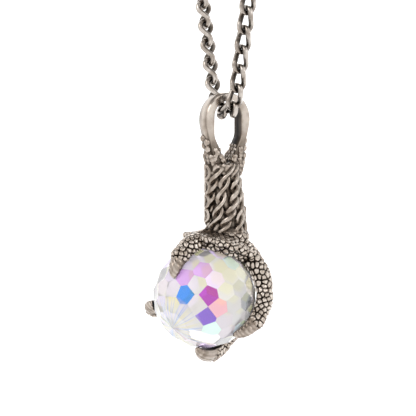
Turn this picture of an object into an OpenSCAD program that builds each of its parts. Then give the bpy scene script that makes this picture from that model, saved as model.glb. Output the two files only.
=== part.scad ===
// A dragon's claw that grips a faceted crystal ball, hung by its bail on a twisted curb chain
// that a lobster clasp closes. Millimetres, +Z up, -Y the front. The origin is where the loop
// hangs from: the middle of the clasp, at the top.

/* [Ball] */

// distance from the ball's centre to each facet
ball_facet_distance = 7.36; // [6:0.01:9]
// facets round the widest ring
ball_facets_round = 20; // [12:1:24]
// fewest facets in a ring: the long ones that meet in a point at each pole
ball_star_facets = 10; // [8:1:12]
// rings of facets from pole to pole
ball_rings = 10; // [8:2:12]

/* [Claw] */

// width of the bail loop's band, along X
band_width = 2.1; // [1.5:0.1:3]
// radius of the bail loop's round opening
bail_hole_radius = 2.3; // [2.2:0.1:3]
// radius of the bail loop's outside
bail_outer_radius = 4; // [3.5:0.1:4.5]
// depth of the teardrop opening below its top
bail_hole_depth = 9.8; // [9:0.1:10.4]
// neck radius under the bail
neck_top_radius = 2.4; // [2:0.1:3]
// neck radius above the palm
neck_bottom_radius = 3.0; // [2.5:0.1:4]
// spiral slats round the neck
neck_slats = 7; // [5:1:9]
// gap between the ball's corners and the toes
grip_gap = 0.05; // [0.02:0.01:0.1]

/* [Chain] */

// wire thickness of a chain link
wire = 0.76; // [0.6:0.02:0.9]
// radius of a link's two round ends, to the middle of the wire
bow_radius = 1.06; // [0.9:0.01:1.3]
// distance from one link to the next
pitch = 2.84; // [2.6:0.01:3.2]
// gap where two links cross
link_gap = 0.05; // [0.04:0.01:0.08]
// lean of each strand away from vertical, in degrees
lean = 12.5; // [8:0.5:16]
// chain links in each strand
strand_links = 6; // [6:1:6]

/* [Clasp] */

// diameter of the left jump ring, to the middle of the wire
small_ring = 3.2; // [3:0.1:4]
// wire thickness of the clasp's hook
hook_wire = 1.1; // [0.9:0.05:1.3]
// radius of the clasp's hook, to the middle of the wire
hook_radius = 2.1; // [1.8:0.1:2.6]
// radius of the clasp's eye, to the middle of the wire
eye_radius = 1.35; // [1.2:0.05:1.6]
// radius of the lever's pin
pin_radius = 0.35; // [0.3:0.05:0.5]

/* [Hidden] */

$fn = 96;
small = 0.004;

// Chain: the height of the lowest joint above the top of the bail's opening, and what follows.
first_joint_z = -0.44;
crossing = wire + link_gap;
link_length = pitch + crossing;
bow_to_bow = link_length - bow_radius;

// The two saddle links hang through the bail and cross each other there. The right one slopes up,
// and the first right link holds it at an angle round its bow. The left one's slope closes the
// loop, and the first right link's lean brings the right strand's joints level with the left's.
saddle_right_slope = 10;
saddle_contact = 45;
saddle_left_slope = asin((crossing * cos(lean) + bow_to_bow * sin(saddle_right_slope)
    + bow_radius * sin(saddle_contact)) / pitch);
first_right_lean = acos((pitch * cos(lean) - bow_radius * cos(lean)
    + crossing * sin(saddle_contact)) / bow_to_bow);
strand_x = (pitch * cos(saddle_left_slope) - crossing * sin(lean)
    + bow_to_bow * cos(saddle_right_slope) + bow_radius * cos(saddle_contact)) / 2;
contact_way = [cos(saddle_contact), 0, sin(saddle_contact)];
first_right_up = [sin(first_right_lean), 0, cos(first_right_lean)];
left_up = [-sin(lean), 0, cos(lean)];
right_up = [sin(lean), 0, cos(lean)];
left_foot = [-strand_x, 0, first_joint_z];
right_foot = [strand_x, 0, first_joint_z];
strand_run = strand_links * pitch;

// The first right link's foot, and the point that the rest of the right strand is counted from.
first_right_foot = right_foot - crossing * contact_way;
right_base = first_right_foot + bow_to_bow * first_right_up + (bow_radius - pitch) * right_up;

// Clasp: the highest joint, where both rings hang.
ring_run = strand_run + small_ring;
left_top = left_foot + ring_run * left_up;
right_top = right_base + ring_run * right_up;
big_ring = small_ring + crossing + hook_wire / 2 + wire / 2 + link_gap;
eye_middle = left_top - crossing * left_up + [eye_radius, 0, 0];
hook_middle = right_top + hook_radius * right_up;
body_start = eye_middle + [eye_radius, 0, 0];
body_end = hook_middle + [-hook_radius, 0, 0];
body_along = (body_end - body_start) / norm(body_end - body_start);
pivot = hook_middle + [-2.6, 0, 1.3];
gate_tip = hook_middle + [0.85, 0, 0.7];
slot_floor = hook_middle[2];
spring_x = pivot[0] + 1.05;

// Everything is modelled from the top of the bail's opening, then moved so that the middle of
// the clasp is the origin.
origin = (eye_middle + hook_middle) / 2;

// Claw: places measured from the top of the bail's opening.
ball_middle = [0, -3.5, -28.5];
ball_corner_radius = 7.53;
ball_pole = [0.17, -0.84, -0.51];
neck_top = [0, -0.5, -9.3];
neck_bottom = [0, 0.4, -19.6];
palm_way = [0, 0.36, 0.93];
palm_spread = 34;
palm_inner = 7.7;
palm_outer = 9.7;

// which piece to draw

// ---------- helpers ----------

function unit(v) = v / norm(v);

// A round bar from p to q.
module rod(p, q, r) {
    v = q - p;
    translate(p)
        rotate([0, acos(v[2] / norm(v)), atan2(v[1], v[0])])
            cylinder(r = r, h = norm(v));
}

// Puts +X along x_way and +Z along z_way, with the origin at p. The two ways are square.
module place(p, x_way, z_way) {
    y_way = cross(z_way, x_way);
    multmatrix([[x_way[0], y_way[0], z_way[0], p[0]],
                [x_way[1], y_way[1], z_way[1], p[1]],
                [x_way[2], y_way[2], z_way[2], p[2]],
                [0, 0, 0, 1]])
        children();
}

// Skins a list of closed rings of points, each with the same count, into one solid.
module skin(rings) {
    n = len(rings[0]);
    m = len(rings);
    points = [for (ring = rings) each ring];
    sides = [for (i = [0 : m - 2]) for (j = [0 : n - 1]) for (half = [0, 1])
        half == 0
            ? [i * n + j, i * n + (j + 1) % n, (i + 1) * n + j]
            : [i * n + (j + 1) % n, (i + 1) * n + (j + 1) % n, (i + 1) * n + j]];
    foot = [for (j = [n - 1 : -1 : 0]) j];
    head = [for (j = [0 : n - 1]) (m - 1) * n + j];
    polyhedron(points = points, faces = concat([foot], sides, [head]));
}

// ---------- ball ----------

// One facet's half of space: everything on the centre's side of the facet.
module facet_half(tilt, turn) {
    rotate([0, tilt, turn])
        translate([-20, -20, ball_facet_distance - 40])
            cube([40, 40, 40]);
}

// The tilts and turns of all the facets: rings whose counts shrink towards the poles, each ring
// turned by part of a step from the one before.
function facet_ways() = [
    for (ring = [0 : ball_rings - 1])
        let (tilt = 12 + ring * 156 / (ball_rings - 1))
        let (count = max(ball_star_facets, round(ball_facets_round * sin(tilt))))
        for (k = [0 : count - 1])
            [tilt, (k + 0.5 * (ring % 2)) * 360 / count]
];

module crystal_ball() {
    color([0.86, 0.88, 0.94, 0.5])
        place(ball_middle, unit(cross([0, 1, 0], ball_pole)), unit(ball_pole))
            hull()
                intersection_for (way = facet_ways()) facet_half(way[0], way[1]);
}

// The pad of setting cement between the palm and the ball.
module ball_cement() {
    color([0.55, 0.52, 0.45])
        place(ball_middle, [1, 0, 0], unit(palm_way))
            rotate_extrude()
                intersection() {
                    difference() {
                        circle(r = palm_inner - 0.04);
                        circle(r = palm_inner - 0.13);
                    }
                    translate([0, 7])
                        square([2.6, 1]);
                }
}

// ---------- claw ----------

// The teardrop: a circle whose two tangents meet at a point below it.
module teardrop(r, depth) {
    half = asin(r / depth);
    union() {
        circle(r = r);
        polygon([[r * cos(half), -r * sin(half)], [-r * cos(half), -r * sin(half)], [0, -depth]]);
    }
}

// The bail's opening: a round top where the chain lies, straight sides and a pointed foot.
module bail_hole() {
    shoulder = 2.3;
    union() {
        translate([0, -bail_hole_radius])
            circle(r = bail_hole_radius);
        translate([-bail_hole_radius, -bail_hole_radius - shoulder])
            square([2 * bail_hole_radius, shoulder]);
        translate([0, -bail_hole_radius - shoulder])
            teardrop(bail_hole_radius, bail_hole_depth - bail_hole_radius - shoulder);
    }
}

module claw_bail() {
    bail_top = 1.3;
    outer_drop = 17;
    color([0.72, 0.70, 0.66])
        translate([-band_width / 2, 0, 0])
            rotate([90, 0, 90])
                linear_extrude(height = band_width)
                    difference() {
                        intersection() {
                            translate([0, bail_top - bail_outer_radius])
                                teardrop(bail_outer_radius, outer_drop);
                            translate([-5, -9.9])
                                square([10, 12]);
                        }
                        bail_hole();
                    }
}

// The neck's ring of points at a share t of its length: a round section with spiral slats.
function neck_ring(t) =
    let (middle = neck_top + t * (neck_bottom - neck_top))
    let (r = neck_top_radius + t * (neck_bottom_radius - neck_top_radius) + 0.25 * pow(1 - t, 8))
    [for (j = [0 : 41])
        let (a = j * 360 / 42)
        let (slat = 0.2 * abs(cos(neck_slats * (a + 60 * t) / 2)))
        middle + (r - 0.16 + slat) * [cos(a), sin(a), 0]];

module claw_neck() {
    color([0.70, 0.68, 0.63])
        skin([for (i = [0 : 20]) neck_ring(i / 20)]);
}

// Palm: a cap over the ball, and the wrist that joins it to the neck.
module claw_palm() {
    color([0.70, 0.68, 0.63])
        difference() {
            union() {
                place(ball_middle, [1, 0, 0], unit(palm_way))
                    rotate_extrude()
                        intersection() {
                            circle(r = palm_outer);
                            polygon([[0, 0], [14 * sin(palm_spread), 14 * cos(palm_spread)], [0, 14]]);
                        }
                translate(neck_bottom)
                    sphere(r = neck_bottom_radius + 0.15);
                rod(neck_bottom + [0, 0, 0.1], neck_bottom + [0, -0.2, -1.4], neck_bottom_radius + 0.4);
            }
            translate(ball_middle)
                sphere(r = palm_inner);
        }
}

// A direction on the ball, bent from the start over the middle to the tip.
function toe_way(from, over, tip, t) =
    unit((1 - t) * (1 - t) * unit(from) + 2 * t * (1 - t) * over + t * t * unit(tip));

// How much of a toe's section is cut off flat on the side that faces the ball, as a share of
// the height of its domed side.
toe_flat = 0.4;

// The height of a toe's domed side, or half of its width: full knuckles, a step where the nail
// starts, and a pointed nail.
function toe_half(root, t, nail_start) =
    let (body = root * (1 - 0.30 * t) * (1 + 0.07 * abs(sin(t * 720))))
    let (nail_length = 1.025 - nail_start)
    let (nail = root * 0.72 * sqrt(max(0.004, 1 - pow((t - nail_start + 0.02) / nail_length, 2))))
    t < nail_start ? body : nail;

function toe_ring(from, over, tip, thick, wide, nail_start, t) =
    let (way = toe_way(from, over, tip, t))
    let (next = toe_way(from, over, tip, t + 0.01))
    let (before = toe_way(from, over, tip, t - 0.01))
    let (along = unit(next - before))
    let (across = cross(way, along))
    let (h = toe_half(thick / (1 + toe_flat), t, nail_start))
    let (w = toe_half(wide / 2, t, nail_start))
    let (reach = ball_corner_radius + grip_gap + 0.06 + (toe_flat + 0.04) * h)
    let (middle = ball_middle + reach * way)
    [for (j = [0 : 15])
        let (a = j * 22.5)
        middle + h * max(cos(a), -toe_flat) * way + w * sin(a) * across];

module toe(from, over, tip, thick, wide, nail_start) {
    color([0.72, 0.70, 0.66])
        skin([for (i = [0 : 30]) toe_ring(from, over, tip, thick, wide, nail_start, i / 30)]);
}

module claw_toe_top() {
    toe([0.02, 0.1, 1], [0.15, -0.62, 0.95], [0.28, -0.85, 0.45], 2.3, 3.0, 0.68);
}

module claw_toe_right() {
    toe([0.15, 0.35, 0.91], [0.68, 1.30, 0.12], [0.77, 0.13, -0.62], 2.6, 3.1, 0.84);
}

module claw_toe_bottom() {
    toe([0, 0.55, 0.84], [-0.7, 1.2, -1.9], [0.3, -0.35, -0.88], 2.7, 3.6, 0.82);
}

module claw_toe_left() {
    toe([-0.1, 0.415, 0.91], [-1.8, 0.1, -0.9], [-0.6, -0.8, -0.12], 2.6, 2.8, 0.88);
}

// ---------- chain ----------

// One half ring of wire in the XZ plane, below its middle.
module bow() {
    rotate([-90, 0, 0])
        rotate_extrude(angle = 180)
            translate([bow_radius, 0])
                circle(d = wire);
}

// A twisted link. Its first end is at the origin, it runs up Z, its first bow lies in the XZ
// plane and its last bow in the YZ plane.
module twisted_link() {
    low = bow_radius;
    high = link_length - bow_radius;
    union() {
        translate([0, 0, low])
            bow();
        translate([0, 0, high])
            rotate([180, 0, 90])
                bow();
        for (side = [-1, 1]) {
            rod([side * bow_radius, 0, low], [0, -side * bow_radius, high], wire / 2);
            translate([side * bow_radius, 0, low])
                sphere(d = wire * 1.02);
            translate([0, -side * bow_radius, high])
                sphere(d = wire * 1.02);
        }
    }
}

module left_link(i) {
    color([0.74, 0.72, 0.69])
        place(left_foot + (i - 1) * pitch * left_up, cross([0, 1, 0], left_up), left_up)
            twisted_link();
}

module right_link(i) {
    foot = i == 1 ? first_right_foot : right_base + (i - 1) * pitch * right_up - crossing * right_up;
    color([0.74, 0.72, 0.69])
        place(foot, [0, 1, 0], i == 1 ? first_right_up : right_up)
            twisted_link();
}

module saddle_left() {
    along = [cos(saddle_left_slope), 0, -sin(saddle_left_slope)];
    color([0.74, 0.72, 0.69])
        place(left_foot + crossing * left_up, [0, 1, 0], along)
            twisted_link();
}

module saddle_right() {
    along = [cos(saddle_right_slope), 0, sin(saddle_right_slope)];
    start = right_foot - bow_radius * contact_way - bow_to_bow * along;
    color([0.74, 0.72, 0.69])
        place(start, [0, 1, 0], along)
            twisted_link();
}

module link_left_1() { left_link(1); }
module link_left_2() { left_link(2); }
module link_left_3() { left_link(3); }
module link_left_4() { left_link(4); }
module link_left_5() { left_link(5); }
module link_left_6() { left_link(6); }
module link_right_1() { right_link(1); }
module link_right_2() { right_link(2); }
module link_right_3() { right_link(3); }
module link_right_4() { right_link(4); }
module link_right_5() { right_link(5); }
module link_right_6() { right_link(6); }

// ---------- rings and clasp ----------

module ring_of_wire(diameter, thick) {
    rotate_extrude()
        translate([diameter / 2, 0])
            circle(d = thick);
}

module jump_ring_left() {
    color([0.74, 0.72, 0.69])
        translate(left_foot + (strand_run + small_ring / 2) * left_up)
            rotate([90, 0, 0])
                ring_of_wire(small_ring, wire);
}

module jump_ring_right() {
    middle = right_base + (strand_run - crossing + big_ring / 2) * right_up;
    color([0.74, 0.72, 0.69])
        place(middle, [0, 1, 0], [cos(lean), 0, -sin(lean)])
            ring_of_wire(big_ring, wire);
}

// The hook ring's arc between two angles, counted from +X towards +Z.
module hook_arc(from, to) {
    translate(hook_middle)
        rotate([90, 0, 0])
            rotate([0, 0, from])
                rotate_extrude(angle = to - from)
                    translate([hook_radius, 0])
                        circle(d = hook_wire);
}

// Body: eye, waist, the two cheeks that hold the lever, and the hook.
module clasp_body() {
    color([0.76, 0.74, 0.71])
        difference() {
            union() {
                translate(eye_middle)
                    ring_of_wire(2 * eye_radius, wire);
                rod(body_start - 0.2 * body_along, body_start + 2 * body_along, 0.7);
                rod(body_start + 1.4 * body_along, body_end - 0.1 * body_along, 1.2);
                translate(body_start + 1.4 * body_along)
                    sphere(r = 1.24);
                translate(pivot)
                    sphere(r = 1.6);
                hook_arc(180, 418);
            }
            translate([pivot[0] - 1.9, -0.5, slot_floor])
                cube([3.8, 1, 4]);
            translate([pivot[0], -3, pivot[2]])
                rotate([-90, 0, 0])
                    cylinder(r = pin_radius, h = 6);
        }
}

module clasp_pin() {
    color([0.6, 0.58, 0.55])
        translate([pivot[0], -1.5, pivot[2]])
            rotate([-90, 0, 0])
                cylinder(r = pin_radius, h = 3);
}

// Lever: hub on the pin, gate that rests under the hook's end, and thumb tab.
module clasp_lever() {
    thumb = pivot + [-0.7, 0, 1.9];
    color([0.78, 0.76, 0.73])
        difference() {
            union() {
                translate([pivot[0], -0.42, pivot[2]])
                    rotate([-90, 0, 0])
                        cylinder(r = 0.8, h = 0.84);
                rod(pivot, gate_tip, 0.38);
                translate(gate_tip)
                    sphere(r = 0.4);
                rod(pivot, thumb, 0.38);
                translate(thumb)
                    sphere(r = 0.48);
            }
            translate([pivot[0], -3, pivot[2]])
                rotate([-90, 0, 0])
                    cylinder(r = pin_radius + 0.03, h = 6);
        }
}

// A coil that pushes the gate up: stations along a helix that closes up at both ends.
function coil_ring(t) =
    let (turn = t * 4.5 * 360)
    let (middle = [spring_x + 0.27 * cos(turn), 0.27 * sin(turn), slot_floor + 0.09 + 0.5 * t])
    let (out = [cos(turn), sin(turn), 0])
    [for (j = [0 : 5]) middle + 0.06 * cos(j * 60) * out + [0, 0, 0.06 * sin(j * 60)]];

module clasp_spring() {
    color([0.5, 0.5, 0.52])
        skin([for (i = [0 : 72]) coil_ring(i / 72)]);
}

// ---------- what is drawn ----------

translate(-origin) {
    crystal_ball();
    ball_cement();
    claw_bail();
    claw_neck();
    claw_palm();
    claw_toe_top();
    claw_toe_right();
    claw_toe_bottom();
    claw_toe_left();
    saddle_left();
    saddle_right();
    link_left_1();
    link_left_2();
    link_left_3();
    link_left_4();
    link_left_5();
    link_left_6();
    link_right_1();
    link_right_2();
    link_right_3();
    link_right_4();
    link_right_5();
    link_right_6();
    jump_ring_left();
    jump_ring_right();
    clasp_body();
    clasp_lever();
    clasp_pin();
    clasp_spring();
}
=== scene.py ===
import math
import random

import bpy
import bmesh
import numpy as np
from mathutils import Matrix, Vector, kdtree


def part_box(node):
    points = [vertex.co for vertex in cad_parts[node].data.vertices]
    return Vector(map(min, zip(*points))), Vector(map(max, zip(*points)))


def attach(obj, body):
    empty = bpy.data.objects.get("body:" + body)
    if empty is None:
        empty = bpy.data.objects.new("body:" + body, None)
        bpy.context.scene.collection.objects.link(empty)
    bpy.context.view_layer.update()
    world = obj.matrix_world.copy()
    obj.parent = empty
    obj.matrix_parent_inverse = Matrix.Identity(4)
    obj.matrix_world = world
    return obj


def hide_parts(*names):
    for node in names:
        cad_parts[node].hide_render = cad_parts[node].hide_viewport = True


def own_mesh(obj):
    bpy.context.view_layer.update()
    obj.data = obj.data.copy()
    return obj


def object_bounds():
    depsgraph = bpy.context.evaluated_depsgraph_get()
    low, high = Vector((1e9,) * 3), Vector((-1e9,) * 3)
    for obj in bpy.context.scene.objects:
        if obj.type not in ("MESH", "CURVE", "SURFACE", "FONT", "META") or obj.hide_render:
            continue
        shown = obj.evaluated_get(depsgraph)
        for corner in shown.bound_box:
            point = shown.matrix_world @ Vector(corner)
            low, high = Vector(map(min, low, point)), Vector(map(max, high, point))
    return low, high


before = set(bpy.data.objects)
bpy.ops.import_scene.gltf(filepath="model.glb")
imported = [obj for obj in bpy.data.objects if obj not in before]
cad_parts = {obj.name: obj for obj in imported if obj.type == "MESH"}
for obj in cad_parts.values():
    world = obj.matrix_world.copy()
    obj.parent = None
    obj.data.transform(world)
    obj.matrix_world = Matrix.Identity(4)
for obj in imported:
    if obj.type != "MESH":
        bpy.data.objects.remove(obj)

cad_low, cad_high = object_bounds()

# Shapes are written in millimetres from the top of the bail's opening, and scaled at the end.
MM = 0.001
BAIL_TOP = 1.3
bail_low, bail_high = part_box("claw_bail")
apex = Vector(((bail_low.x + bail_high.x) / 2, (bail_low.y + bail_high.y) / 2,
               bail_high.z - BAIL_TOP * MM))


def vec(*values):
    return np.array(values, float)


def unit(v):
    return np.asarray(v, float) / np.linalg.norm(v)


def smoothstep(low, high, x):
    t = np.clip((np.asarray(x, float) - low) / (high - low), 0, 1)
    return t * t * (3 - 2 * t)


# ---------- camera, floor and light ----------

AZIMUTH = math.radians(57)
ELEVATION = math.radians(6)
across_view = vec(math.cos(AZIMUTH), math.sin(AZIMUTH), 0)
to_camera = vec(math.sin(AZIMUTH) * math.cos(ELEVATION),
                -math.cos(AZIMUTH) * math.cos(ELEVATION), math.sin(ELEVATION))
up_view = np.cross(to_camera, across_view)


def look(obj, target):
    obj.rotation_mode = "QUATERNION"
    obj.rotation_quaternion = (target - obj.location).to_track_quat("-Z", "Y")


CAMERA_DISTANCE = 0.280
TARGET_ACROSS = -2.4
TARGET_UP = -15.6

target = apex + Vector((across_view * TARGET_ACROSS + up_view * TARGET_UP) * MM)
camera_data = bpy.data.cameras.new("camera")
camera_data.lens = 167
camera_data.sensor_width = 36
camera_data.clip_start = 0.01
camera = bpy.data.objects.new("camera", camera_data)
bpy.context.scene.collection.objects.link(camera)
camera.location = target + Vector(to_camera) * CAMERA_DISTANCE
look(camera, target)
bpy.context.scene.camera = camera
bpy.context.scene.view_settings.view_transform = "Standard"


def area_light(name, azimuth, elevation, distance, size, power, colour):
    data = bpy.data.lights.new(name, "AREA")
    data.shape = "DISK"
    data.size = size
    data.energy = power
    data.color = colour
    obj = bpy.data.objects.new(name, data)
    bpy.context.scene.collection.objects.link(obj)
    a, e = math.radians(azimuth), math.radians(elevation)
    way = Vector((math.sin(a) * math.cos(e), -math.cos(a) * math.cos(e), math.sin(e)))
    obj.location = target + way * distance
    look(obj, target)


area_light("key_light", 10, 42, 0.45, 0.20, 0.40, (1, 0.99, 0.97))
area_light("side_light", 125, 22, 0.45, 0.16, 0.22, (0.97, 0.98, 1))
area_light("back_light", 235, 35, 0.45, 0.20, 0.28, (1, 1, 1))
area_light("top_light", 57, 85, 0.5, 0.30, 0.35, (1, 1, 1))

world = bpy.data.worlds.new("studio")
bpy.context.scene.world = world
world.use_nodes = True
world.node_tree.nodes["Background"].inputs["Color"].default_value = (0.97, 0.98, 1, 1)
world.node_tree.nodes["Background"].inputs["Strength"].default_value = 0.5


# ---------- mesh helpers ----------

def finish_piece(name, points, faces, body, slot, material, replaced=(), smooth=True, fields=None):
    """A mesh piece in the part's frame that rides on a body and stands for CAD nodes."""
    mesh = bpy.data.meshes.new(name)
    placed = np.asarray(points, float) * MM + np.array(apex)
    mesh.from_pydata([tuple(p) for p in placed], [], [tuple(f) for f in faces])
    for field, values in (fields or {}).items():
        mesh.attributes.new(field, "FLOAT", "POINT").data.foreach_set(
            "value", np.asarray(values, np.float32))
    mesh.polygons.foreach_set("use_smooth", [smooth] * len(mesh.polygons))
    mesh.materials.append(material)
    mesh.update()
    obj = bpy.data.objects.new(name, mesh)
    bpy.context.scene.collection.objects.link(obj)
    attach(obj, body)
    if replaced:
        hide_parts(*replaced)
    return obj


def tube(path, radii, sides=14, closed=False):
    """A round tube along a path, with its radius at each point, and no sudden twist."""
    path = np.asarray(path, float)
    count = len(path)
    radii = np.broadcast_to(radii, (count,))
    if closed:
        ways = np.roll(path, -1, 0) - np.roll(path, 1, 0)
    else:
        ways = np.gradient(path, axis=0)
    ways /= np.linalg.norm(ways, axis=1)[:, None]
    side = unit(np.cross(ways[0], [0.31, 0.57, 0.76]))
    frames = []
    for way in ways:
        side = unit(side - way * np.dot(side, way))
        frames.append((side, np.cross(way, side)))
    slip = 0.0
    if closed:
        last = unit(frames[-1][0] - ways[0] * np.dot(frames[-1][0], ways[0]))
        slip = math.atan2(np.dot(last, frames[0][1]), np.dot(last, frames[0][0]))
    points, faces = [], []
    for i in range(count):
        for j in range(sides):
            a = 2 * math.pi * j / sides - slip * i / count
            points.append(path[i] + radii[i] * (math.cos(a) * frames[i][0]
                                                + math.sin(a) * frames[i][1]))
    for i in range(count if closed else count - 1):
        k = (i + 1) % count
        for j in range(sides):
            m = (j + 1) % sides
            faces.append((i * sides + j, i * sides + m, k * sides + m, k * sides + j))
    if not closed:
        faces.append(tuple(reversed(range(sides))))
        faces.append(tuple((count - 1) * sides + j for j in range(sides)))
    return np.array(points), faces


def skin(rings):
    """Closed rings of points, each with the same count, joined into one closed surface."""
    n, m = len(rings[0]), len(rings)
    faces = [tuple(reversed(range(n)))]
    for i in range(m - 1):
        for j in range(n):
            k = (j + 1) % n
            faces.append((i * n + j, i * n + k, (i + 1) * n + k, (i + 1) * n + j))
    faces.append(tuple((m - 1) * n + j for j in range(n)))
    return np.concatenate(rings), faces


def egg(centre, ways, sizes, rows=8, columns=12):
    """An ellipsoid with three given axes."""
    rings = []
    for i in range(1, rows):
        tilt = math.pi * i / rows
        rings.append(np.array([
            centre + sizes[0] * math.sin(tilt) * math.cos(a) * ways[0]
            + sizes[1] * math.sin(tilt) * math.sin(a) * ways[1]
            + sizes[2] * math.cos(tilt) * ways[2]
            for a in np.linspace(0, 2 * math.pi, columns, endpoint=False)]))
    return skin(rings)


def joined(parts):
    points, faces, start = [], [], 0
    for part_points, part_faces in parts:
        points.append(part_points)
        faces += [tuple(v + start for v in face) for face in part_faces]
        start += len(part_points)
    return np.concatenate(points), faces


def on_frame(local, p, x_way, z_way):
    """Points of a piece's own axes, placed at p with +X along x_way and +Z along z_way."""
    return p + np.asarray(local) @ np.array([x_way, np.cross(z_way, x_way), z_way])


# ---------- ball sizes ----------

BALL_MIDDLE = vec(0, -3.5, -28.5)
BALL_FACET_DISTANCE = 7.36
BALL_CORNER_RADIUS = 7.53
BALL_POLE = unit([0.17, -0.84, -0.51])
BALL_RINGS = 10
FACETS_ROUND = 20
STAR_FACETS = 10
GRIP_GAP = 0.05
STAR_IS_FULL = math.radians(24)
STAR_FADES_OUT = math.radians(40)


# ---------- materials ----------

def new_material(name):
    material = bpy.data.materials.new(name)
    material.use_nodes = True
    nodes, links = material.node_tree.nodes, material.node_tree.links
    return material, nodes, links, nodes["Principled BSDF"]


def noise(nodes, links, scale, detail, stretch=(1, 1, 1)):
    place = nodes.new("ShaderNodeTexCoord")
    mapping = nodes.new("ShaderNodeMapping")
    mapping.inputs["Scale"].default_value = stretch
    texture = nodes.new("ShaderNodeTexNoise")
    texture.inputs["Scale"].default_value = scale
    texture.inputs["Detail"].default_value = detail
    links.new(place.outputs["Object"], mapping.inputs["Vector"])
    links.new(mapping.outputs["Vector"], texture.inputs["Vector"])
    return texture.outputs["Fac"]


def ramp(nodes, links, source, stops):
    node = nodes.new("ShaderNodeValToRGB")
    elements = node.color_ramp.elements
    while len(elements) < len(stops):
        elements.new(0.5)
    for element, (place, colour) in zip(elements, stops):
        element.position = place
        element.color = (*colour, 1)
    links.new(source, node.inputs["Fac"])
    return node.outputs["Color"]


def grey(value):
    return (value, value, value)


def mixed(nodes, links, first, second, kind, amount):
    node = nodes.new("ShaderNodeMix")
    node.data_type = "RGBA"
    node.blend_type = kind
    node.inputs["Factor"].default_value = amount
    links.new(first, node.inputs["A"])
    links.new(second, node.inputs["B"])
    return node.outputs["Result"]


def add_bump(nodes, links, shader, height, strength, distance):
    bump = nodes.new("ShaderNodeBump")
    bump.inputs["Strength"].default_value = strength
    bump.inputs["Distance"].default_value = distance
    links.new(height, bump.inputs["Height"])
    links.new(bump.outputs["Normal"], shader.inputs["Normal"])


def metal_material(name, stops, rough, grain=2600, dents=900, depth=0.00002, by_patina_and_shading=True):
    """Metal that is pale and smooth where its value is high and dark and rough where it is low. The
    value is painted shade and painted highlight with oxide in the hollows, or else a random mottle.
    """
    material, nodes, links, shader = new_material(name)
    shader.inputs["Metallic"].default_value = 1.0
    blotches = noise(nodes, links, dents, 4)
    fine = noise(nodes, links, grain, 6)
    # With the stored value, the colour follows painted shade and painted highlights, with oxide in
    # the hollows.
    if by_patina_and_shading:
        patina_and_shading = nodes.new("ShaderNodeAttribute")
        patina_and_shading.attribute_name = "patina_and_shading"
        source = patina_and_shading.outputs["Fac"]
    else:
        source = blotches
    base = ramp(nodes, links, source, stops)
    tarnish = ramp(nodes, links, blotches, [(0.38, (0.52, 0.48, 0.44)), (0.58, (1, 1, 1))])
    links.new(mixed(nodes, links, base, tarnish, "MULTIPLY", 0.8),
              shader.inputs["Base Color"])
    roughness_ramp = ramp(nodes, links, source, [(0.1, grey(rough[0])), (0.75, grey(rough[1]))])
    speckle = ramp(nodes, links, fine, [(0.35, grey(0.7)), (0.65, grey(1.0))])
    links.new(mixed(nodes, links, roughness_ramp, speckle, "MULTIPLY", 0.7),
              shader.inputs["Roughness"])
    add_bump(nodes, links, shader, fine, 0.35, depth)
    return material


silver_stops = [(0.12, (0.008, 0.006, 0.005)), (0.40, (0.060, 0.048, 0.038)),
                (0.62, (0.25, 0.21, 0.176)), (0.98, (0.50, 0.445, 0.395))]
claw_silver = metal_material("claw_silver", silver_stops, (0.62, 0.20))
bail_silver = metal_material("bail_silver", silver_stops, (0.5, 0.24), 1800, 420, 0.00002)
chain_stops = [(0.15, (0.030, 0.025, 0.021)), (0.50, (0.17, 0.148, 0.13)),
               (0.95, (0.44, 0.40, 0.365))]
chain_silver = metal_material("chain_silver", chain_stops, (0.45, 0.24), 2200, 700, 0.00001)
clasp_stops = [(0.30, (0.20, 0.178, 0.155)), (0.55, (0.40, 0.365, 0.33)),
               (0.75, (0.50, 0.46, 0.42))]
clasp_silver = metal_material("clasp_silver", clasp_stops, (0.38, 0.24), 2400, 600, 0.00001, False)
pin_stops = [(0.35, (0.20, 0.19, 0.18)), (0.6, (0.38, 0.36, 0.34))]
pin_steel = metal_material("pin_steel", pin_stops, (0.42, 0.25), 3000, 1200, 0.00001, False)
spring_stops = [(0.35, (0.17, 0.17, 0.18)), (0.6, (0.36, 0.36, 0.38))]
spring_steel = metal_material("spring_steel", spring_stops, (0.40, 0.24), 3200, 1500, 0.00001, False)


def cement_material():
    material, nodes, links, shader = new_material("cement")
    cloud = noise(nodes, links, 1500, 5)
    links.new(ramp(nodes, links, cloud, [(0.3, (0.42, 0.39, 0.32)), (0.7, (0.62, 0.59, 0.52))]),
              shader.inputs["Base Color"])
    links.new(ramp(nodes, links, cloud, [(0.3, grey(0.35)), (0.7, grey(0.6))]),
              shader.inputs["Roughness"])
    shader.inputs["Transmission Weight"].default_value = 0.3
    add_bump(nodes, links, shader, cloud, 0.4, 0.00002)
    return material


def math_node(nodes, links, kind, *sources):
    node = nodes.new("ShaderNodeMath")
    node.operation = kind
    for socket, source in zip(node.inputs, sources):
        if isinstance(source, (int, float)):
            socket.default_value = source
        else:
            links.new(source, socket)
    return node.outputs["Value"]


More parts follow.
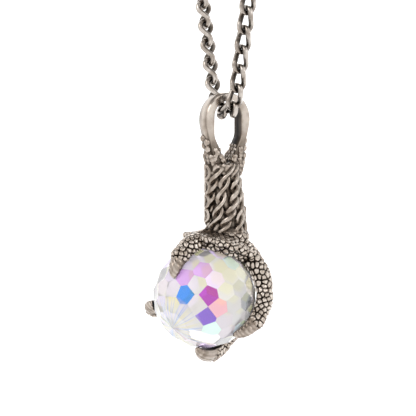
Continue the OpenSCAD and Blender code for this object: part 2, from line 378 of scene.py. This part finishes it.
def star_rays(nodes, links):
    """Narrow coloured rays round the ball's pole, and how near the pole a point is."""
    x_way = unit(np.cross([0, 1, 0], BALL_POLE))
    place = nodes.new("ShaderNodeTexCoord")
    from_middle = nodes.new("ShaderNodeVectorMath")
    from_middle.operation = "SUBTRACT"
    from_middle.inputs[1].default_value = apex + Vector(BALL_MIDDLE * MM)
    links.new(place.outputs["Object"], from_middle.inputs[0])
    parts = []
    for way in (x_way, np.cross(BALL_POLE, x_way), BALL_POLE):
        dot = nodes.new("ShaderNodeVectorMath")
        dot.operation = "DOT_PRODUCT"
        dot.inputs[1].default_value = Vector(way)
        links.new(from_middle.outputs["Vector"], dot.inputs[0])
        parts.append(dot.outputs["Value"])
    turn = math_node(nodes, links, "ARCTAN2", parts[0], parts[1])
    comb = nodes.new("ShaderNodeTexNoise")
    comb.noise_dimensions = "1D"
    comb.inputs["Scale"].default_value = 2.6
    comb.inputs["Detail"].default_value = 1.5
    links.new(turn, comb.inputs["W"])
    rays = ramp(nodes, links, comb.outputs["Fac"],
                [(0.30, (0.66, 0.46, 0.50)), (0.38, (0.62, 0.61, 0.60)),
                 (0.43, (0.62, 0.61, 0.60)), (0.46, (0.10, 0.28, 0.66)),
                 (0.49, (0.61, 0.60, 0.60)), (0.57, (0.68, 0.64, 0.34)),
                 (0.66, (0.63, 0.61, 0.59))])
    height = math_node(nodes, links, "DIVIDE", parts[2], BALL_FACET_DISTANCE * MM)
    near_pole = nodes.new("ShaderNodeMapRange")
    near_pole.inputs["From Min"].default_value = math.cos(STAR_FADES_OUT)
    near_pole.inputs["From Max"].default_value = math.cos(STAR_IS_FULL)
    near_pole.inputs["To Max"].default_value = 0.85
    links.new(height, near_pole.inputs["Value"])
    return rays, near_pole.outputs["Result"]


def crystal_material():
    """Coated glass: the facets' own tints, a thin film and a few faint clouds inside."""
    material, nodes, links, shader = new_material("crystal")
    tint = nodes.new("ShaderNodeAttribute")
    tint.attribute_name = "tint"
    cloud = noise(nodes, links, 260, 3)
    veil = ramp(nodes, links, cloud, [(0.35, (0.96, 0.93, 0.90)), (0.65, (1, 1, 1))])
    clouded = mixed(nodes, links, tint.outputs["Color"], veil, "MULTIPLY", 0.7)
    rays, near_pole = star_rays(nodes, links)
    starred = nodes.new("ShaderNodeMix")
    starred.data_type = "RGBA"
    links.new(near_pole, starred.inputs["Factor"])
    links.new(clouded, starred.inputs["A"])
    links.new(rays, starred.inputs["B"])
    links.new(starred.outputs["Result"], shader.inputs["Base Color"])
    polish = noise(nodes, links, 1800, 3)
    links.new(ramp(nodes, links, polish, [(0.4, grey(0.02)), (0.7, grey(0.06))]),
              shader.inputs["Roughness"])
    shader.inputs["IOR"].default_value = 1.52
    shader.inputs["Transmission Weight"].default_value = 0.62
    shader.inputs["Thin Film Thickness"].default_value = 205
    shader.inputs["Thin Film IOR"].default_value = 1.49
    shader.inputs["Coat Weight"].default_value = 0.25
    shader.inputs["Coat Roughness"].default_value = 0.02
    return material


def floor_material():
    material, nodes, links, shader = new_material("floor")
    mottle = noise(nodes, links, 6, 3)
    links.new(ramp(nodes, links, mottle, [(0.3, grey(0.93)), (0.7, grey(0.96))]),
              shader.inputs["Base Color"])
    shader.inputs["Roughness"].default_value = 0.9
    shader.inputs["Emission Color"].default_value = (1, 1, 1, 1)
    shader.inputs["Emission Strength"].default_value = 0.42
    return material


def studio_bowl():
    """A pale floor that curves up far away, so that no horizon shows from any side."""
    profile = [(0.001, 0), (0.5, 0), (1.5, 0)]
    profile += [(1.5 + 1.5 * math.sin(t), 1.5 - 1.5 * math.cos(t))
                for t in np.linspace(0.1, math.pi / 2, 14)]
    profile += [(3.0, 2.5), (3.0, 4.0)]
    rings = [[(r * math.cos(a), r * math.sin(a), z)
              for a in np.linspace(0, 2 * math.pi, 64, endpoint=False)] for r, z in profile]
    mesh = bpy.data.meshes.new("floor")
    faces = [(i * 64 + j, i * 64 + (j + 1) % 64, (i + 1) * 64 + (j + 1) % 64, (i + 1) * 64 + j)
             for i in range(len(rings) - 1) for j in range(64)]
    faces.append(tuple(reversed(range(64))))
    mesh.from_pydata([p for ring in rings for p in ring], [], faces)
    mesh.polygons.foreach_set("use_smooth", [True] * len(mesh.polygons))
    mesh.materials.append(floor_material())
    obj = bpy.data.objects.new("floor", mesh)
    obj.location = (0, 0, cad_low.z - 0.03)
    bpy.context.scene.collection.objects.link(obj)


studio_bowl()


# ---------- ball ----------

PALE = [(0.58, 0.57, 0.56), (0.53, 0.53, 0.54), (0.64, 0.63, 0.60), (0.46, 0.46, 0.48),
        (0.58, 0.54, 0.60), (0.62, 0.59, 0.54)]
GREY = (0.20, 0.21, 0.23)
BLUE = (0.005, 0.14, 0.62)
MAGENTA = (0.30, 0.01, 0.34)
ORCHID = (0.52, 0.25, 0.62)
VIOLET = (0.12, 0.04, 0.50)
LILAC = (0.74, 0.62, 0.90)
ROSE = (0.78, 0.36, 0.44)
MINT = (0.62, 0.92, 0.80)
OLIVE = (0.60, 0.58, 0.20)
SKY = (0.58, 0.74, 0.84)
DEEP = [SKY, OLIVE, LILAC]
SOFT = [LILAC, MINT, OLIVE, SKY]
# Where the strongest colours show from the front quarter: across, up, tint.
SHOWN_TINTS = [(-0.28, 0.05, BLUE), (0.0, 0.16, MAGENTA), (-0.28, 0.34, ORCHID),
               (0.1, -0.35, VIOLET), (0.0, 0.6, ORCHID), (0.16, -0.1, ROSE),
               (0.2, 0.32, LILAC), (0.15, -0.6, MINT), (-0.7, 0.0, OLIVE),
               (0.82, -0.03, GREY), (-0.8, -0.4, SKY), (0.0, -0.9, LILAC)]


def facet_normals():
    x_way = unit(np.cross([0, 1, 0], BALL_POLE))
    y_way = np.cross(BALL_POLE, x_way)
    normals = []
    for ring in range(BALL_RINGS):
        tilt = 12 + ring * 156 / (BALL_RINGS - 1)
        count = max(STAR_FACETS, round(FACETS_ROUND * math.sin(math.radians(tilt))))
        for k in range(count):
            turn = math.radians((k + 0.5 * (ring % 2)) * 360 / count)
            t = math.radians(tilt)
            normals.append(math.sin(t) * math.cos(turn) * x_way
                           + math.sin(t) * math.sin(turn) * y_way + math.cos(t) * BALL_POLE)
    return np.array(normals)


def cut_ball(normals):
    """The solid inside all the facets' planes: each corner is where a hull face of the
    normals says that three or more planes meet."""
    hull = bmesh.new()
    for n in normals:
        hull.verts.new(n)
    hull.verts.ensure_lookup_table()
    for i, v in enumerate(hull.verts):
        v.index = i
    bmesh.ops.convex_hull(hull, input=hull.verts[:])
    corners_of = {i: [] for i in range(len(normals))}
    for face in hull.faces:
        a, b, c = [normals[v.index] for v in face.verts]
        m = unit(np.cross(b - a, c - a))
        h = float(np.dot(m, a))
        corner = m * BALL_FACET_DISTANCE / h
        for v in face.verts:
            corners_of[v.index].append(corner)
    hull.free()
    points, faces, kept = [], [], []
    for i, n in enumerate(normals):
        found = []
        for corner in corners_of[i]:
            if all(np.linalg.norm(corner - f) > 0.02 for f in found):
                found.append(corner)
        if len(found) < 3:
            continue
        x = unit(np.cross(n, [0.3, 0.5, 0.81]))
        y = np.cross(n, x)
        found.sort(key=lambda q: math.atan2(np.dot(q, y), np.dot(q, x)))
        faces.append(tuple(range(len(points), len(points) + len(found))))
        points += found
        kept.append(i)
    return np.array(points), faces, kept


def facet_tints(normals):
    chance = random.Random(11)
    places = np.array([[np.dot(n, across_view), np.dot(n, up_view), np.dot(n, to_camera)]
                       for n in normals])
    tints = []
    for i in range(len(normals)):
        roll = chance.random()
        if places[i][2] < 0.05 and roll < 0.035:
            tint = chance.choice(DEEP)
        elif roll > 0.87:
            tint = chance.choice(SOFT)
        else:
            tint = chance.choice(PALE)
        tints.append(tint)
    for across, up, tint in SHOWN_TINTS:
        distance = (places[:, 0] - across) ** 2 + (places[:, 1] - up) ** 2
        distance[places[:, 2] < 0] = 9
        tints[int(np.argmin(distance))] = tint
    return tints


normals = facet_normals()
ball_points, ball_faces, kept = cut_ball(normals)
tints = facet_tints(normals)
ball = finish_piece("faceted_ball", ball_points + BALL_MIDDLE, ball_faces, "pendant", "crystal",
                    crystal_material(), ["crystal_ball"], smooth=False)
paint = ball.data.color_attributes.new("tint", "FLOAT_COLOR", "CORNER")
corner = 0
for face, i in zip(ball_faces, kept):
    for _ in face:
        paint.data[corner].color = (*tints[i], 1)
        corner += 1
ball_weld = bmesh.new()
ball_weld.from_mesh(ball.data)
bmesh.ops.remove_doubles(ball_weld, verts=ball_weld.verts[:], dist=0.00003)
ball_weld.to_mesh(ball.data)
ball_weld.free()


# ---------- claw casting ----------

NECK_TOP = vec(0, -0.5, -9.3)
NECK_BOTTOM = vec(0, 0.4, -19.6)
NECK_TOP_RADIUS = 2.4
NECK_BOTTOM_RADIUS = 3.0
PALM_WAY = unit([0, 0.36, 0.93])
PALM_SPREAD = 34
PALM_INNER = 7.7
PALM_OUTER = 9.7
TOES = {
    "top": ([0.02, 0.1, 1], [0.15, -0.62, 0.95], [0.28, -0.85, 0.45], 2.3, 3.0, 0.68),
    "right": ([0.15, 0.35, 0.91], [0.68, 1.30, 0.12], [0.77, 0.13, -0.62], 2.6, 3.1, 0.84),
    "bottom": ([0, 0.55, 0.84], [-0.7, 1.2, -1.9], [0.3, -0.35, -0.88], 2.7, 3.6, 0.82),
    "left": ([-0.1, 0.415, 0.91], [-1.8, 0.1, -0.9], [-0.6, -0.8, -0.12], 2.6, 2.8, 0.88),
}
TOE_FLAT = 0.4
VOXEL = 0.1
SCALE_SPACING = 0.86
SCALE_RELIEF = 0.40
NAIL_RIDGE = 0.035


def toe_way(start, over, tip, t):
    return unit((1 - t) ** 2 * unit(start) + 2 * t * (1 - t) * vec(*over) + t * t * unit(tip))


def toe_half(root, t, nail_start):
    if t < nail_start:
        return root * (1 - 0.30 * t) * (1 + 0.07 * abs(math.sin(math.radians(720 * t))))
    share = (t - nail_start + 0.02) / (1.025 - nail_start)
    return root * 0.72 * math.sqrt(max(0.004, 1 - share ** 2))


def toe_frame(toe, t):
    start, over, tip, thick, wide, nail_start = toe
    way = toe_way(start, over, tip, t)
    along = unit(toe_way(start, over, tip, t + 0.01) - toe_way(start, over, tip, t - 0.01))
    h = toe_half(thick / (1 + TOE_FLAT), t, nail_start)
    middle = BALL_MIDDLE + (BALL_CORNER_RADIUS + GRIP_GAP + 0.06 + (TOE_FLAT + 0.04) * h) * way
    return middle, way, np.cross(way, along), h, toe_half(wide / 2, t, nail_start)


def toe_volume(toe):
    rings = []
    for i in range(91):
        middle, way, across, h, w = toe_frame(toe, i / 90)
        rings.append(np.array([middle + h * max(math.cos(a), -TOE_FLAT) * way
                               + w * math.sin(a) * across
                               for a in np.linspace(0, 2 * math.pi, 28, endpoint=False)]))
    return skin(rings)


def neck_at(t):
    middle = NECK_TOP + t * (NECK_BOTTOM - NECK_TOP)
    return middle, NECK_TOP_RADIUS + t * (NECK_BOTTOM_RADIUS - NECK_TOP_RADIUS)


def neck_volumes():
    """A plain core, two-ply ropes wound round it, and columns of braided loops."""
    chance = random.Random(8)
    turns = np.linspace(0, 2 * math.pi, 40, endpoint=False)
    parts = [skin([np.array([neck_at(t)[0] + (neck_at(t)[1] - 0.80)
                             * vec(math.cos(a), math.sin(a), 0) for a in turns])
                   for t in np.linspace(-0.02, 1.03, 24)])]
    ropes = 8
    for k in range(ropes):
        sway = chance.uniform(-9, 9)
        phase = chance.uniform(0, math.pi)
        pitch = chance.uniform(2.1, 2.9)
        lift = chance.uniform(-0.10, 0.14)
        for ply in (0, math.pi):
            path, radii = [], []
            for t in np.linspace(-0.01, 1.05, 90):
                middle, r = neck_at(t)
                wound = 96 * max(t, 0) ** 0.8
                a = math.radians(k * 360 / ropes - wound + 8 + sway * math.sin(7 * t + k))
                out = vec(math.cos(a), math.sin(a), 0)
                side = vec(-math.sin(a), math.cos(a), 0)
                twist = 2 * math.pi * pitch * t + phase + ply
                reach = r - 0.42 + lift + 0.30 * math.sin(twist)
                path.append(middle + reach * out + 0.50 * math.cos(twist) * side)
                radii.append(0.34 + 0.05 * t + 0.07 * math.sin(15 * t + 2 * k + ply))
            parts.append(tube(path, radii, 10))
    for facing in (-89, 91):
        for row in range(4):
            middle, r = neck_at(0.10 + 0.205 * row)
            a = math.radians(facing - 3 * row)
            out = vec(math.cos(a), math.sin(a), 0)
            side = vec(-math.sin(a), math.cos(a), 0)
            loop = [middle + (r + 0.16) * out + 0.48 * math.cos(b) * side
                    + vec(0, 0, 0.92 * math.sin(b)) - 0.10 * math.cos(2 * b) * out
                    for b in np.linspace(0, 2 * math.pi, 30, endpoint=False)]
            parts.append(tube(loop, 0.27, 10, closed=True))
    return parts


def bail_outer_width(z):
    """Half of the bail's outer width: a circle above, and its two tangents below."""
    middle = BAIL_TOP - BAIL_OUTER_RADIUS
    lean_angle = math.asin(BAIL_OUTER_RADIUS / BAIL_OUTER_DROP)
    if z > middle - BAIL_OUTER_RADIUS * math.sin(lean_angle):
        return math.sqrt(max(0, BAIL_OUTER_RADIUS ** 2 - (z - middle) ** 2))
    return (z - middle + BAIL_OUTER_DROP) * math.tan(lean_angle)


def bail_inner_width(z):
    """Half of the opening's width: a round top, straight sides and a pointed foot."""
    if z > -BAIL_HOLE_RADIUS:
        return math.sqrt(max(0, BAIL_HOLE_RADIUS ** 2 - (z + BAIL_HOLE_RADIUS) ** 2))
    middle = -BAIL_HOLE_RADIUS - BAIL_SHOULDER
    drop = BAIL_HOLE_DEPTH + middle
    lean_angle = math.asin(BAIL_HOLE_RADIUS / drop)
    if z > middle:
        return BAIL_HOLE_RADIUS
    if z > middle - BAIL_HOLE_RADIUS * math.sin(lean_angle):
        return math.sqrt(BAIL_HOLE_RADIUS ** 2 - (z - middle) ** 2)
    return max(0.0, (z + BAIL_HOLE_DEPTH) * math.tan(lean_angle))


def leg_beads():
    """Beads on the bail's lower legs, denser towards the neck."""
    chance = random.Random(5)
    parts = []
    for row in range(11):
        z = -5.4 - 0.52 * row
        wide, hole = bail_outer_width(z), bail_inner_width(z)
        dense = row > 4
        for side in (-1, 1):
            xs = [-0.75, 0.05, 0.8] if dense else [0.35 if row % 2 else -0.4]
            for x in xs:
                size = chance.uniform(0.38, 0.52) if dense else chance.uniform(0.50, 0.60)
                parts.append(egg(vec(x + chance.uniform(-0.1, 0.1), side * (wide - 0.02), z),
                                 np.eye(3), (size, size * 0.8, size)))
            if row > 2:
                steps = 2 if dense else 1
                for step in range(steps):
                    share = (step + 0.5) / steps + chance.uniform(-0.12, 0.12)
                    y = side * (hole + share * (wide - hole))
                    for face in (-1, 1):
                        size = chance.uniform(0.34, 0.50)
                        parts.append(egg(vec(face * 1.08, y, z + chance.uniform(-0.12, 0.12)),
                                         np.eye(3), (size * 0.75, size, size)))
    for row in range(5):
        z = -6.6 - 0.5 * row
        for side in (-1, 1):
            for x in (-0.62, 0.0, 0.62):
                size = chance.uniform(0.26, 0.34)
                parts.append(egg(vec(x + 0.3 * (row % 2) - 0.15, side * bail_inner_width(z), z),
                                 np.eye(3), (size, size * 0.7, size)))
    for row in range(3):
        for k in range(16):
            a = 2 * math.pi * (k + 0.5 * row) / 16
            size = chance.uniform(0.36, 0.5)
            r = 2.05 + 0.05 * row
            parts.append(egg(vec(r * math.cos(a) * 0.9, -0.4 + r * math.sin(a), -9.3 - 0.55 * row),
                             np.eye(3), (size, size, size * 0.9)))
    return parts


def palm_volumes():
    x_way = vec(1, 0, 0)
    y_way = np.cross(PALM_WAY, x_way)
    rings = []
    spread = math.radians(PALM_SPREAD)
    outline = [(PALM_OUTER, s) for s in np.linspace(0.02, spread, 16)]
    outline += [(PALM_INNER, s) for s in np.linspace(spread, 0.02, 16)]
    for radius, s in outline:
        rings.append(np.array([BALL_MIDDLE + radius * (math.cos(s) * PALM_WAY + math.sin(s)
                     * (math.cos(a) * x_way + math.sin(a) * y_way))
            for a in np.linspace(0, 2 * math.pi, 48, endpoint=False)]))
    parts = [skin(rings)]
    parts.append(egg(NECK_BOTTOM + vec(0, 0, -0.2), np.eye(3), (3.2, 3.2, 2.2), 16, 28))
    beads = 17
    for k in range(beads):
        a = 2 * math.pi * (k + 0.3) / beads
        flat = math.cos(a) * x_way + math.sin(a) * y_way
        s = spread * 1.0
        out = math.cos(s) * PALM_WAY + math.sin(s) * flat
        around = np.cross(PALM_WAY, flat)
        parts.append(egg(BALL_MIDDLE + 9.3 * out, np.array([around, np.cross(out, around), out]),
                         (0.92, 0.50, 0.62)))
    return parts


def remeshed(points, faces):
    """One clean surface over many overlapping volumes, in millimetres."""
    mesh = bpy.data.meshes.new("volume")
    mesh.from_pydata([tuple(p) for p in points], [], faces)
    obj = bpy.data.objects.new("volume", mesh)
    bpy.context.scene.collection.objects.link(obj)
    modifier = obj.modifiers.new("remesh", "REMESH")
    modifier.mode = "VOXEL"
    modifier.voxel_size = VOXEL
    made = obj.evaluated_get(bpy.context.evaluated_depsgraph_get()).to_mesh()
    count = len(made.vertices)
    co, no = np.zeros(count * 3), np.zeros(count * 3)
    made.vertices.foreach_get("co", co)
    made.vertices.foreach_get("normal", no)
    edges = np.zeros(len(made.edges) * 2, int)
    made.edges.foreach_get("vertices", edges)
    polygons = [tuple(p.vertices) for p in made.polygons]
    obj.evaluated_get(bpy.context.evaluated_depsgraph_get()).to_mesh_clear()
    bpy.data.objects.remove(obj)
    return co.reshape(-1, 3), no.reshape(-1, 3), edges.reshape(-1, 2), polygons


def eased(values, edges, rounds):
    """Each value moved to its neighbours' mean, a number of times."""
    values = np.array(values, float)
    count = len(values)
    degree = np.bincount(edges.ravel(), minlength=count)[:, None]
    for _ in range(rounds):
        total = np.zeros_like(values)
        for column in range(values.shape[1]):
            total[:, column] = (
                np.bincount(edges[:, 0], values[edges[:, 1], column], count)
                + np.bincount(edges[:, 1], values[edges[:, 0], column], count))
        values = 0.35 * values + 0.65 * total / np.maximum(degree, 1)
    return values


def spread_seeds(co, spacing):
    """Points of the surface kept apart by a spacing that varies, in a fixed random order."""
    chance = np.random.RandomState(3)
    cell = spacing * 1.3
    cells, seeds = {}, []
    for i in chance.permutation(len(co)):
        key = tuple(np.floor(co[i] / cell).astype(int))
        apart = (spacing * chance.uniform(0.65, 1.45)) ** 2
        near = [q for a in (-1, 0, 1) for b in (-1, 0, 1) for c in (-1, 0, 1)
                for q in cells.get((key[0] + a, key[1] + b, key[2] + c), ())]
        if all((co[i][0] - q[0]) ** 2 + (co[i][1] - q[1]) ** 2 + (co[i][2] - q[2]) ** 2 > apart
               for q in near):
            cells.setdefault(key, []).append(co[i])
            seeds.append(co[i])
    return seeds


def nail_share(co):
    """1 on the nails, 0 elsewhere."""
    samples = [(toe_frame(toe, t)[0], t - toe[5]) for toe in TOES.values()
               for t in np.linspace(0, 1, 80)]
    tree = kdtree.KDTree(len(samples))
    for i, (p, past) in enumerate(samples):
        tree.insert(p, i)
    tree.balance()
    past_start = np.array([samples[tree.find(p)[1]][1] for p in co])
    return smoothstep(-0.02, 0.015, past_start)


def scale_height(co, seeds):
    """Height of pebble scales: a dome in each cell, with a groove where two cells meet."""
    tree = kdtree.KDTree(len(seeds))
    for i, p in enumerate(seeds):
        tree.insert(p, i)
    tree.balance()
    near = np.array([[hit[2] for hit in tree.find_n(p, 2)] for p in co])
    edge = (near[:, 1] - near[:, 0]) / np.maximum(near[:, 1] + near[:, 0], 1e-6)
    return smoothstep(0.0, 0.26, edge) * (0.72 + 0.28 * edge)


BAIL_OUTER_RADIUS = 4.0
BAIL_OUTER_DROP = 17
BAND_WIDTH = 2.1
BAIL_HOLE_RADIUS = 2.3
BAIL_HOLE_DEPTH = 9.8
BAIL_SHOULDER = 2.3

volumes = neck_volumes() + palm_volumes() + leg_beads() + [toe_volume(t) for t in TOES.values()]
co, no, edges, polygons = remeshed(*joined(volumes))
co = eased(co, edges, 1)
nails = nail_share(co)
outward = co - BALL_MIDDLE
outward /= np.linalg.norm(outward, axis=1)[:, None]
facing_out = smoothstep(-0.70, -0.20, np.sum(no * outward, axis=1))
below_neck = smoothstep(-18.6, -20.2, co[:, 2])
height = scale_height(co, spread_seeds(co, SCALE_SPACING))
ridges = NAIL_RIDGE * np.sin(9.0 * co[:, 0] + 5.0 * co[:, 1] + 7.0 * co[:, 2]) * facing_out
lift = SCALE_RELIEF * (height - 0.5) * (1 - nails) * below_neck * facing_out + ridges * nails
co = co + no * lift[:, None]
hollow = np.sum((co - eased(co, edges, 14)) * no, axis=1)
# Hollows are darker: oxide, with painted shade.
patina_and_shading = np.clip(0.56 + hollow / 0.22, 0, 1)
# Painted shade: below the neck, surfaces that face in towards the ball are darkened for the shade
# between the toes and the ball.
patina_and_shading *= 1 - 0.66 * (1 - facing_out) * below_neck
# The nails are darker in their own colour, and painted shade darkens their sides that face the
# ball.
patina_and_shading = np.where(nails > 0.5, (0.30 + 0.58 * patina_and_shading) * (0.55 + 0.45 * facing_out), patina_and_shading)
finish_piece("claw_casting", co, polygons, "pendant", "antiqued_silver", claw_silver,
             ["claw_neck", "claw_palm", "claw_toe_top", "claw_toe_right",
              "claw_toe_bottom", "claw_toe_left"], fields={"patina_and_shading": patina_and_shading})


# ---------- bail ----------

def bail_piece():
    shares = np.linspace(1, 0, 60)
    outer, inner = [], []
    for side, steps in ((-1, shares), (1, shares[::-1][1:])):
        for share in steps:
            z = BAIL_TOP - (BAIL_TOP + 9.9) * share ** 2
            outer.append((side * bail_outer_width(z), z))
            z = -9.79 * share ** 2
            inner.append((side * bail_inner_width(z), z))
    bevel = 0.16
    shoulder_drop = 0.20
    edge_drop = 0.34
    rows, patina_and_shading = [], []
    for (oy, oz), (iy, iz) in zip(outer, inner):
        across = unit([oy - iy, oz - iz])
        o, i = vec(oy, oz), vec(iy, iz)
        half = BAND_WIDTH / 2
        shoulder = o - across * shoulder_drop
        # The third number of each section point is its colour value: painted highlights on the
        # outer crest and edges, painted shade deepest on the inner face of the opening.
        section = [(shoulder, -half + bevel, 0.62), (o - across * edge_drop, -half, 0.95),
                   (i + across * bevel, -half, 0.80), (i, -half + bevel, 0.45),
                   (i, 0, 0.12), (i, half - bevel, 0.45), (i + across * bevel, half, 0.85),
                   (o - across * edge_drop, half, 0.95), (shoulder, half - bevel, 0.62),
                   (o, 0.24, 1.0)]
        rows.append(np.array([vec(x, p[0], p[1]) for p, x, _ in section]))
        # The band is painted darker towards its bottom.
        lower_darkening = 1 - 0.50 * float(smoothstep(-2.0, -8.0, oz))
        patina_and_shading += [w * lower_darkening for _, _, w in section]
    points, faces = skin(rows)
    piece = finish_piece("bail_band", points, faces, "pendant", "antiqued_silver", bail_silver,
                         ["claw_bail"], fields={"patina_and_shading": patina_and_shading})
    piece.data.set_sharp_from_angle(angle=math.radians(38))


bail_piece()


# ---------- chain ----------

WIRE = 0.76
BOW_RADIUS = 1.06
PITCH = 2.84
LINK_LENGTH = 3.65
BOW_TO_BOW = 2.59
CROSSING = 0.81
FIRST_JOINT_Z = -0.44
LEAN = math.radians(12.5)
SADDLE_RIGHT_SLOPE = math.radians(10)
SADDLE_CONTACT = math.radians(45)
SMALL_RING = 3.2
HOOK_WIRE = 1.1
LINK_GAP = 0.05
STRAND_LINKS = 6

saddle_left_slope = math.asin((CROSSING * math.cos(LEAN) + BOW_TO_BOW * math.sin(SADDLE_RIGHT_SLOPE)
                               + BOW_RADIUS * math.sin(SADDLE_CONTACT)) / PITCH)
first_right_lean = math.acos((PITCH * math.cos(LEAN) - BOW_RADIUS * math.cos(LEAN)
                              + CROSSING * math.sin(SADDLE_CONTACT)) / BOW_TO_BOW)
strand_x = (PITCH * math.cos(saddle_left_slope) - CROSSING * math.sin(LEAN)
            + BOW_TO_BOW * math.cos(SADDLE_RIGHT_SLOPE) + BOW_RADIUS * math.cos(SADDLE_CONTACT)) / 2
contact_way = vec(math.cos(SADDLE_CONTACT), 0, math.sin(SADDLE_CONTACT))
first_right_up = vec(math.sin(first_right_lean), 0, math.cos(first_right_lean))
left_up = vec(-math.sin(LEAN), 0, math.cos(LEAN))
right_up = vec(math.sin(LEAN), 0, math.cos(LEAN))
left_foot = vec(-strand_x, 0, FIRST_JOINT_Z)
right_foot = vec(strand_x, 0, FIRST_JOINT_Z)
first_right_foot = right_foot - CROSSING * contact_way
right_base = (first_right_foot + BOW_TO_BOW * first_right_up
              + (BOW_RADIUS - PITCH) * right_up)
Y_WAY = vec(0, 1, 0)


def link_path():
    """The middle of a twisted link's wire: two bows a quarter turn apart, and two slanted legs."""
    r, low, high = BOW_RADIUS, BOW_RADIUS, LINK_LENGTH - BOW_RADIUS
    path = []
    bow_turns = np.linspace(0, math.pi, 15)
    leg_shares = np.linspace(0, 1, 11)[1:-1]
    for a in bow_turns:
        path.append(vec(r * math.cos(a), 0, low - r * math.sin(a)))
    for t in leg_shares:
        path.append((1 - t) * vec(-r, 0, low) + t * vec(0, r, high))
    for a in bow_turns:
        path.append(vec(0, r * math.cos(a), high + r * math.sin(a)))
    for t in leg_shares:
        path.append((1 - t) * vec(0, -r, high) + t * vec(r, 0, low))
    # The legs and corners are smoothed. The bows' middles, where links bear, stay in place.
    path = np.array(path)
    half_loose = np.concatenate([np.cos(bow_turns) ** 2, np.ones(len(leg_shares))])
    loose = np.tile(half_loose, 2)[:, None]
    for _ in range(6):
        between = 0.5 * (np.roll(path, 1, 0) + np.roll(path, -1, 0))
        path += 0.5 * loose * (between - path)
    return path


def link_piece(name, body, p, x_way, z_way):
    path = link_path()
    points, faces = tube(path, WIRE / 2, 16, closed=True)
    middle = vec(0, 0, LINK_LENGTH / 2)
    centre = np.repeat(path, 16, axis=0)
    out = centre - middle
    out /= np.linalg.norm(out, axis=1)[:, None]
    normal = (points - centre) / (WIRE / 2)
    # Painted shade and highlight: the wire is darker on its side that faces the link's middle and
    # lighter on its outer side.
    patina_and_shading = np.clip(0.62 + 0.42 * np.sum(normal * out, axis=1), 0.1, 1)
    finish_piece(name, on_frame(points, p, x_way, z_way), faces, body, "chain_metal",
                 chain_silver, [name.replace("wire_", "")], fields={"patina_and_shading": patina_and_shading})


def ring_piece(name, body, middle, x_way, y_way, diameter):
    """A jump ring of round wire, with the fine cut where it was opened."""
    turns = np.linspace(math.radians(2), math.radians(358), 72)
    path = [middle + diameter / 2 * (math.cos(a) * x_way + math.sin(a) * y_way) for a in turns]
    points, faces = tube(path, WIRE / 2, 16)
    out = points - middle
    out /= np.linalg.norm(out, axis=1)[:, None]
    normal = points - np.repeat(np.array(path), 16, axis=0)
    # Painted shade and highlight: the wire is darker on its side that faces the ring's middle and
    # lighter on its outer side.
    patina_and_shading = np.clip(0.62 + 0.42 * np.sum(normal / (WIRE / 2) * out, axis=1), 0.1, 1)
    finish_piece(name, points, faces, body, "chain_metal", chain_silver,
                 [name.replace("wire_", "")], fields={"patina_and_shading": patina_and_shading})


for i in range(1, STRAND_LINKS + 1):
    link_piece("wire_link_left_%d" % i, "left_%d" % i, left_foot + (i - 1) * PITCH * left_up,
               np.cross(Y_WAY, left_up), left_up)
    foot = right_base + (i - 1) * PITCH * right_up - CROSSING * right_up
    up = right_up
    if i == 1:
        foot, up = first_right_foot, first_right_up
    link_piece("wire_link_right_%d" % i, "right_%d" % i, foot, Y_WAY, up)
link_piece("wire_saddle_left", "saddle_left", left_foot + CROSSING * left_up, Y_WAY,
           vec(math.cos(saddle_left_slope), 0, -math.sin(saddle_left_slope)))
saddle_way = vec(math.cos(SADDLE_RIGHT_SLOPE), 0, math.sin(SADDLE_RIGHT_SLOPE))
link_piece("wire_saddle_right", "saddle_right",
           right_foot - BOW_RADIUS * contact_way - BOW_TO_BOW * saddle_way, Y_WAY, saddle_way)

strand_run = STRAND_LINKS * PITCH
big_ring = SMALL_RING + CROSSING + HOOK_WIRE / 2 + WIRE / 2 + LINK_GAP
ring_piece("wire_jump_ring_left", "ring_left", left_foot + (strand_run + SMALL_RING / 2) * left_up,
           vec(1, 0, 0), vec(0, 0, 1), SMALL_RING)
ring_piece("wire_jump_ring_right", "ring_right",
           right_base + (strand_run - CROSSING + big_ring / 2) * right_up,
           right_up, Y_WAY, big_ring)


# ---------- clasp spring ----------

SPRING_WIRE = 0.12
SPRING_TURNS = 4.5

spring_low, spring_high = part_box("clasp_spring")
low_end = (np.array(spring_low) - np.array(apex)) / MM
high_end = (np.array(spring_high) - np.array(apex)) / MM
coil_radius = (high_end[1] - low_end[1] - SPRING_WIRE) / 2
coil_middle = (low_end + high_end) / 2
coil_turns = np.linspace(0, 2 * math.pi * SPRING_TURNS, int(48 * SPRING_TURNS))
coil_heights = np.linspace(low_end[2] + SPRING_WIRE / 2, high_end[2] - SPRING_WIRE / 2,
                           len(coil_turns))
coil = np.stack([coil_middle[0] + coil_radius * np.cos(coil_turns),
                 coil_middle[1] + coil_radius * np.sin(coil_turns), coil_heights], axis=1)
spring = finish_piece("wire_spring", *tube(coil, SPRING_WIRE / 2, 10), "clasp", "spring_steel",
                      spring_steel, ["clasp_spring"])
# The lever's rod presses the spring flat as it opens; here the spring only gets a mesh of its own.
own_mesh(spring)


# ---------- clasp and cement: the CAD shapes with their own materials ----------

def repaint(node, material):
    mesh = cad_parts[node].data
    mesh.materials.clear()
    mesh.materials.append(material)


repaint("clasp_body", clasp_silver)
repaint("clasp_lever", clasp_silver)
repaint("clasp_pin", pin_steel)
repaint("ball_cement", cement_material())
